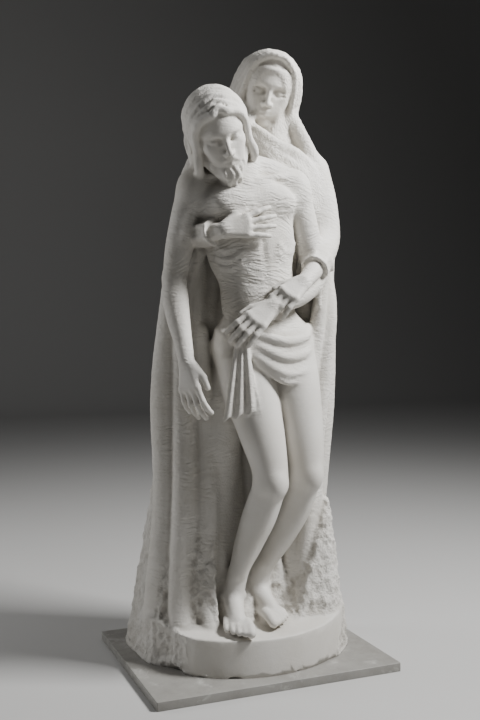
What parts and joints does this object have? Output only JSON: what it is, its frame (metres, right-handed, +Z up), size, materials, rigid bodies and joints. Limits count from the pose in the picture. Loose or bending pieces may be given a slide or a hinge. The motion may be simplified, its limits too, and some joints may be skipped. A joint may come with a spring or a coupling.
{
  "type": "pieta statue",
  "caption": "Standing pieta of two figures and rough stone cast in one block: a veiled mother holds up her son from behind, on a round hewn base and a thin square board.",
  "frame": {"origin": "middle of the board's underside", "axes": "+Z up, -Y towards the front that the son's body faces, +X to the right seen from the front"},
  "size_m": [0.79, 0.64, 1.9707],
  "materials": {
    "plaster": "matt off-white casting plaster, claw-chiselled and hewn surfaces as in the stone it was cast from",
    "painted_board": "satin grey paint with scuffs"
  },
  "bodies": {
    "root": {"figure_group": "plaster", "base_board": "painted_board"}
  },
  "joints": []
}
